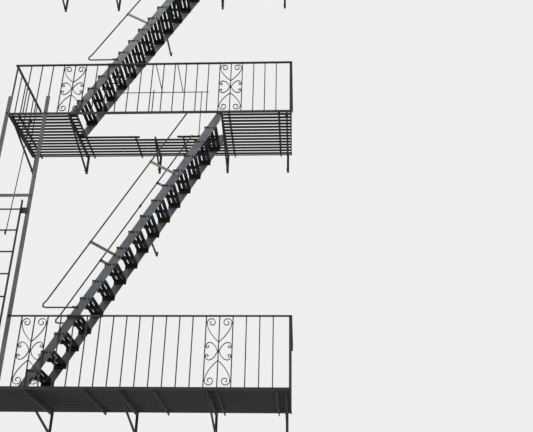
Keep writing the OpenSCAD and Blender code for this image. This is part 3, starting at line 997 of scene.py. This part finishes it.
@dataclass
class Treads:
    """The bolts of one flight's treads: heads outside the stringers, nuts inside, rivets on the bars."""

    tag: str
    flight: Flight
    along: tuple[Pair, ...] = ((0.018, 0.0115), (0.046, 0.0110), (0.089, 0.0105))
    down: float = 0.024
    end_clear: float = 0.012
    washer: float = 0.0025
    head_bevel: float = 0.0012
    head_spin: Pair = (37.0, 19.0)
    nut: Pair = (0.0090, 0.008)
    nut_bevel: float = 0.0009
    nut_spin: Pair = (19.0, 25.0)
    shank: Pair = (0.0048, 0.003)
    foot_bolt: float = 0.010
    foot_ends: Pair = (0.018, 0.026)
    foot_in: float = 0.032
    foot_up: float = 0.008
    foot_spin: float = 400.0
    rivet: Pair = (0.0070, 0.003)
    rivet_in: float = 0.024
    tread_bars: int = 3

    def build(self) -> None:
        """Add the bolts and rivets."""
        for side in SIDES:
            self.bolts(side)
        self.rivets()

    def bolts(self, side: Side) -> None:
        """Add the bolts of one stringer.

        Args:
            side: the stringer's side.
        """
        f = self.flight
        heads = Piece(f"{self.tag}_{side.name}_tread_bolts")
        nuts = Piece(f"{self.tag}_{side.name}_tread_nuts")
        out = Vector((0, side.out, 0))
        inner = side.stringer + side.out * (S.stringer_t + S.angle_t)
        for n, (_, top) in enumerate(f.treads()):
            z = top - self.down
            for j, (dx, head) in enumerate(self.along):
                x = f.edge(z - f.floor) + dx
                if x > f.end - self.end_clear:
                    continue
                at = Vector((x, -side.stringer, z))
                heads.disc(at, out, head * 1.15, self.washer, 14)
                heads.disc(at + out * self.washer, out, head * 0.90, head * 0.60, 6, self.head_bevel,
                           turned(self.head_spin, n, j))
                at.y = -inner
                nuts.disc(at, -out, *self.nut, 6, self.nut_bevel, turned(self.nut_spin, n, j))
                nuts.disc(at - out * self.nut[1], -out, *self.shank, 8)
        y = -side.stringer - self.foot_in * side.out
        for dx in (self.foot_ends[0], f.width - self.foot_ends[1]):
            nuts.bolt((f.foot + dx, y, f.floor + self.foot_up), UP, self.foot_bolt, self.foot_spin * dx)
        heads.finish(Coat.BOLT)
        nuts.finish(Coat.BOLT)

    def rivets(self) -> None:
        """Add the rivets that hold each tread's bars."""
        rivets = Piece(f"{self.tag}_tread_rivets")
        low, high = S.back + S.stringer_t, S.front - S.stringer_t
        for left, top in self.flight.treads():
            for b in range(self.tread_bars):
                x = left + b * (S.tread_w + S.tread_gap) + S.tread_w / 2
                for y in (low + self.rivet_in, (low + high) / 2, high - self.rivet_in):
                    rivets.dome((x, -y, top), UP, *self.rivet)
        rivets.finish(Coat.SLAT)


@dataclass
class Handrails:
    """The bolts, clamps and couplings of one flight's two handrails, and the bolts of its wall tie."""

    tag: str
    flight: Flight
    coat: Coat
    couplings: tuple[tuple[str, float], ...] = ()
    bolt: float = 0.0105
    bolts_past: Pair = (0.018, 0.078)
    bolt_spin: Pair = (27.0, 40.0)
    end_bolts: tuple[Pair, ...] = ((0.020, 15.0), (-0.020, 40.0))
    foot: Pair = (0.0595, 0.096)
    foot_w: float = 0.035
    foot_bevel: float = 0.0008
    clamp: Form = (0.0128, 0.040, 16)
    coupling: Form = (0.0145, 0.048, 6)
    sleeve_bevel: float = 0.0015
    rivet: Pair = (0.0065, 0.004)
    rivet_out: float = 0.012
    wall_bolt: float = 0.0095
    wall_shank: Pair = (0.0046, 0.008)
    wall_up: float = 0.035
    wall_spin: float = 14.0
    stringer_bolt: float = 0.0080
    stringer_up: float = 0.022
    stringer_spin: float = 33.0
    tie_t: float = 0.008

    def build(self) -> None:
        """Add the bolts and clamps."""
        for side in SIDES:
            self.fastenings(side)
        self.tie_bolts()

    def sleeve(self, piece: Piece, side: Side, height: float, size: Form) -> None:
        """Add a sleeve round the rod, with its middle at a height above the flight's floor."""
        x, z = self.flight.rod_at(height - size[1] / 2 * self.flight.sin)
        piece.disc((x, -side.rail - side.out * S.rod_r, z), self.flight.lean, *size, self.sleeve_bevel)

    def fastenings(self, side: Side) -> None:
        """Add the fastenings of one handrail.

        Args:
            side: the handrail's side.
        """
        f = self.flight
        out = (0, side.out, 0)
        bolts = Piece(f"{self.tag}_{side.name}_standard_bolts")
        clamps = Piece(f"{self.tag}_{side.name}_rod_clamps")
        feet = Piece(f"{self.tag}_{side.name}_standard_feet")
        foot_y = -side.rail - side.out * S.lug / 2
        run, wall = Vector((f.sin, 0.0, -f.cos)), Vector(WALL)
        turn = Matrix((run, wall.cross(run), wall)).transposed().to_4x4()
        size = (self.foot[1] - self.foot[0], self.foot_w, S.lug)
        for n, up in enumerate(f.standards()):
            for j, past in enumerate(self.bolts_past):
                x, z = f.rod_at(up, f.rod_off + past)
                bolts.bolt((x, -side.rail, z), out, self.bolt, turned(self.bolt_spin, n, j))
            x, z = f.rod_at(up, f.rod_off + sum(self.foot) / 2)
            feet.block(Matrix.Translation((x, foot_y, z)) @ turn, size, self.foot_bevel)
            self.sleeve(clamps, side, up, self.clamp)
            x, z = f.rod_at(up)
            bolts.dome((x, -side.rail + side.out * (self.rivet_out - S.rod_r), z), out, *self.rivet)
        for dx, spin in self.end_bolts:
            bolts.bolt((f.edge(f.rod_low) + dx, -side.rail, f.floor + f.rod_low), out, self.bolt, spin)
        for where, up in self.couplings:
            if where == side.name:
                self.sleeve(clamps, side, up, self.coupling)
        bolts.finish(Coat.BOLT)
        clamps.finish(Coat.ROD)
        feet.finish(self.coat)

    def tie_bolts(self) -> None:
        """Add the bolts at the two ends of the wall tie."""
        f = self.flight
        bolts = Piece(f"{self.tag}_tie_bolts")
        x = f.edge(f.tie) + f.tie_in
        z = f.floor + f.tie
        bolts.bolt((x, -self.tie_t, z + self.wall_up), STREET, self.wall_bolt, self.wall_spin)
        bolts.disc((x, -S.wall_gap, z + self.wall_up), STREET, *self.wall_shank, 10)
        at = (x, -S.back + self.tie_t, z + self.stringer_up)
        bolts.bolt(at, WALL, self.stringer_bolt, self.stringer_spin)
        bolts.finish(Coat.BOLT)


# Drop ladder and guard


@dataclass
class Guides:
    """The bolts of the ladder's guides, and of the rail that ends on one of them."""

    bolt: float = 0.013
    bolt_spin: Pair = (21.0, 34.0)
    proud: float = 0.006
    nut: Form = (0.011, 0.008, 6, 0.001, 10.0)
    tie_z: float = 2.645
    tie_out: float = 0.018
    tie_head: Form = (0.0075, 0.0045, 10)
    tie_gap: float = 0.022
    rail_bolt: Form = (0.014, 8.0, 0.012)

    def build(self) -> None:
        """Add the bolts."""
        bolts = Piece("guide_bolts")
        face = -S.depth - S.guide_t
        middle = S.bar_lip - S.bar_h / 2
        for i, x in enumerate((S.guide_a, S.guide_b)):
            for j, z in enumerate((LOW_Z + middle, MID_Z + middle)):
                bolts.bolt((x, face, z), STREET, self.bolt, turned(self.bolt_spin, i, j), self.proud)
                if i == 0:
                    bolts.disc((x, -S.in_face, z), WALL, *self.nut)
            for side in (-1, 1):
                at = (x + side * self.tie_gap / 2, -S.depth - self.tie_out, self.tie_z)
                bolts.dome(at, STREET, *self.tie_head)
        rail_z = LOW_Z + S.low_rail - S.rail_t / 2
        bolts.bolt((S.guide_a, face, rail_z), STREET, *self.rail_bolt)
        bolts.finish(Coat.BOLT)


@dataclass
class DropLadder:
    """The peened rung ends, rung collars and shoe rivets of the drop ladder."""

    top: float = LOW_Z + 2.340
    stile_in: float = 0.085
    stile_h: float = 0.040
    stile_t: float = 0.010
    ease: float = 0.005
    first: float = 0.126
    pitch: float = 0.288
    rungs: int = 10
    cap: Form = (0.0135, 0.0025, 12)
    collar: Pair = (0.0145, 0.003)
    collar_top: float = 0.0105
    shoe_y: float = 1.0886
    shoe_out: float = 0.016
    shoe_downs: Pair = (0.120, 0.160)
    shoe_head: Form = (0.0085, 0.0045, 12)

    def build(self) -> None:
        """Add the rung ends, the collars and the shoe rivets."""
        ends = Piece("rung_ends")
        rivets = Piece("shoe_rivets")
        y = -S.depth - self.ease - self.stile_h / 2
        for x, out in ((S.guide_a - self.stile_in, 1.0), (S.guide_b + self.stile_in, -1.0)):
            side = out * self.stile_t / 2
            for k in range(self.rungs):
                z = self.top - self.first - k * self.pitch
                ends.dome((x + side, y, z), (out, 0, 0), *self.cap)
                ends.disc((x - side, y, z), (-out, 0, 0), *self.collar, top=self.collar_top)
            for down in self.shoe_downs:
                at = (x + out * self.shoe_out, -self.shoe_y, self.top - down)
                rivets.dome(at, STREET, *self.shoe_head)
        ends.finish(Coat.IRON, "drop_ladder")
        rivets.finish(Coat.BOLT, "drop_ladder")


@dataclass
class HookPin:
    """The washers, heads and split pin of the pin that carries the ladder's hook."""

    right: float = 0.015
    drop: float = 0.030
    out: float = 0.019
    washer: Pair = (0.0115, 0.002)
    head: Pair = (0.0085, 0.006)
    head_bevel: float = 0.002
    split: Pair = (0.0014, 0.028)
    split_out: float = 0.005

    def build(self) -> None:
        """Add the heads."""
        pin = Piece("hook_pin_heads")
        x = (S.guide_a + S.guide_b) / 2 + self.right
        y = -S.slat_y(S.slat_n - 2)
        z = MID_Z - S.slat_t - self.drop
        for side in (-1, 1):
            axis = (side, 0, 0)
            pin.disc((x + side * self.out, y, z), axis, *self.washer)
            pin.disc((x + side * (self.out + self.washer[1]), y, z), axis, *self.head, 12, self.head_bevel)
        pin.disc((x + self.out + self.split_out, y, z - self.split[1] / 2), UP, *self.split, 8)
        pin.finish(Coat.BOLT)


@dataclass
class Guard:
    """The foot, knobs and rail bolts of the guard beside the stair opening."""

    post: float = 0.600
    end: float = 0.690
    rods: Pair = (0.040, 0.335)
    drop: float = 0.062
    rod_r: float = 0.006
    flange: Form = (0.0165, 0.004, 16, 0.0012)
    socket: Form = (0.0095, 0.012, 12)
    socket_top: float = 0.0068
    knob: float = 0.0105
    end_knob: float = 0.0090
    rod_knob: float = 0.0100
    bolt: float = 0.009
    bolt_out: float = 0.004
    bolt_spin: float = 20.0

    def build(self) -> None:
        """Add the pieces."""
        made = Piece("guard_knobs")
        y = -(S.walk_edge - self.rod_r)
        rail = MID_Z + S.rail - self.drop
        made.disc((self.post, y, MID_Z), UP, *self.flange)
        made.disc((self.post, y, MID_Z + self.flange[1]), UP, *self.socket, top=self.socket_top)
        made.ball((self.post, y, rail), self.knob)
        made.ball((self.end, y, rail), self.end_knob)
        for x in self.rods:
            made.ball((x, y, rail), self.rod_knob)
        made.finish(Coat.ROD)
        bolts = Piece("guard_rail_bolts")
        for x in self.rods:
            bolts.bolt((x, -S.rail_y - self.bolt_out, MID_Z + S.rail), UP, self.bolt, self.bolt_spin)
        bolts.finish(Coat.BOLT)


class Stair:
    """The whole fire escape: finishes on its solids and its fastenings."""

    def build(self) -> None:
        """Dress every solid and add the fastenings."""
        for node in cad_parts:
            dress(node)
        for plan in storeys():
            for part in (Brackets(plan), Floor(plan), Railing(plan)):
                part.build()
        for part in (Treads("low", LOWER), Treads("up", UPPER),
                     Handrails("low", LOWER, Coat.LOW_ROD, (("back", 2.560),)),
                     Handrails("up", UPPER, Coat.UP_ROD), Guides(), DropLadder(), HookPin(), Guard()):
            part.build()


# Studio


@dataclass
class Studio:
    """Floor, world, lamp and camera."""

    eye: Triple = (1.976, -9.421, -2.043)
    pitch: float = 27.689
    yaw: float = -2.750
    roll: float = 1.004
    focal: float = 780.24
    image_w: float = 533.0
    sensor: float = 36.0
    far: float = 200.0
    sky: Triple = (0.93, 0.96, 1.0)
    sky_power: float = 0.62
    backdrop: Triple = (0.86, 0.86, 0.85)
    key_power: float = 1.6
    key_angle: float = 25.0
    key_way: Triple = (0.45, 0.75, -0.95)
    floor_z: float = -3.65
    floor_half: float = 90.0

    def camera(self) -> None:
        """Place the camera where the photograph was taken."""
        pitch, yaw, roll = (math.radians(a) for a in (self.pitch, self.yaw, self.roll))
        ahead = Vector((math.sin(yaw) * math.cos(pitch), math.cos(yaw) * math.cos(pitch), math.sin(pitch)))
        right = Vector((math.cos(yaw), -math.sin(yaw), 0.0))
        up = right.cross(ahead)
        right, up = (math.cos(roll) * right + math.sin(roll) * up,
                     math.cos(roll) * up - math.sin(roll) * right)
        data = bpy.data.cameras.new("camera")
        data.sensor_width = self.sensor
        data.lens = self.focal * self.sensor / self.image_w
        data.clip_end = self.far
        made = show("camera", data)
        turn = Matrix((right, up, -ahead)).transposed().to_4x4()
        made.matrix_world = Matrix.Translation(Vector(self.eye)) @ turn
        bpy.context.scene.camera = made

    def world(self) -> None:
        """Even sky light, with a pale backdrop in what the camera and gloss see."""
        world = bpy.data.worlds.new("studio")
        bpy.context.scene.world = world
        world.use_nodes = True
        sky = Nodes(world.node_tree)
        rays = sky.node("ShaderNodeLightPath").outputs
        seen = rays["Is Camera Ray"]
        for kind in ("Is Glossy Ray", "Is Transmission Ray"):
            seen = sky.node("ShaderNodeMath", {"operation": "MAXIMUM"}, {0: seen, 1: rays[kind]}).outputs[0]
        light = sky.node("ShaderNodeBackground", None, {"Color": self.sky, "Strength": self.sky_power})
        shown = sky.node("ShaderNodeBackground", None, {"Color": self.backdrop})
        mix = sky.node("ShaderNodeMixShader", None, {0: seen, 1: light.outputs[0], 2: shown.outputs[0]})
        sky.node("ShaderNodeOutputWorld", None, {"Surface": mix.outputs[0]})

    def lamp(self) -> None:
        """A soft key from the upper left front."""
        data = bpy.data.lights.new("key", "SUN")
        data.energy = self.key_power
        data.angle = math.radians(self.key_angle)
        show("key", data).rotation_euler = Vector(self.key_way).to_track_quat("-Z", "Y").to_euler()

    def floor(self) -> None:
        """Lay the pale floor below the stair."""
        mesh = bmesh.new()
        bmesh.ops.create_grid(mesh, x_segments=1, y_segments=1, size=self.floor_half,
                              matrix=Matrix.Translation((0, 0, self.floor_z)))
        data = bpy.data.meshes.new("floor")
        mesh.to_mesh(data)
        mesh.free()
        data.materials.append(material_of(Coat.FLOOR))
        made = show("floor", data)

    def build(self) -> None:
        """Set up the whole studio."""
        self.camera()
        self.world()
        self.lamp()
        self.floor()
        bpy.context.scene.view_settings.view_transform = "Standard"


def main() -> None:
    """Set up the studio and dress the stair."""
    logging.basicConfig(level=logging.INFO, format="%(message)s")
    Studio().build()
    Stair().build()


if __name__ == "__main__":
    main()
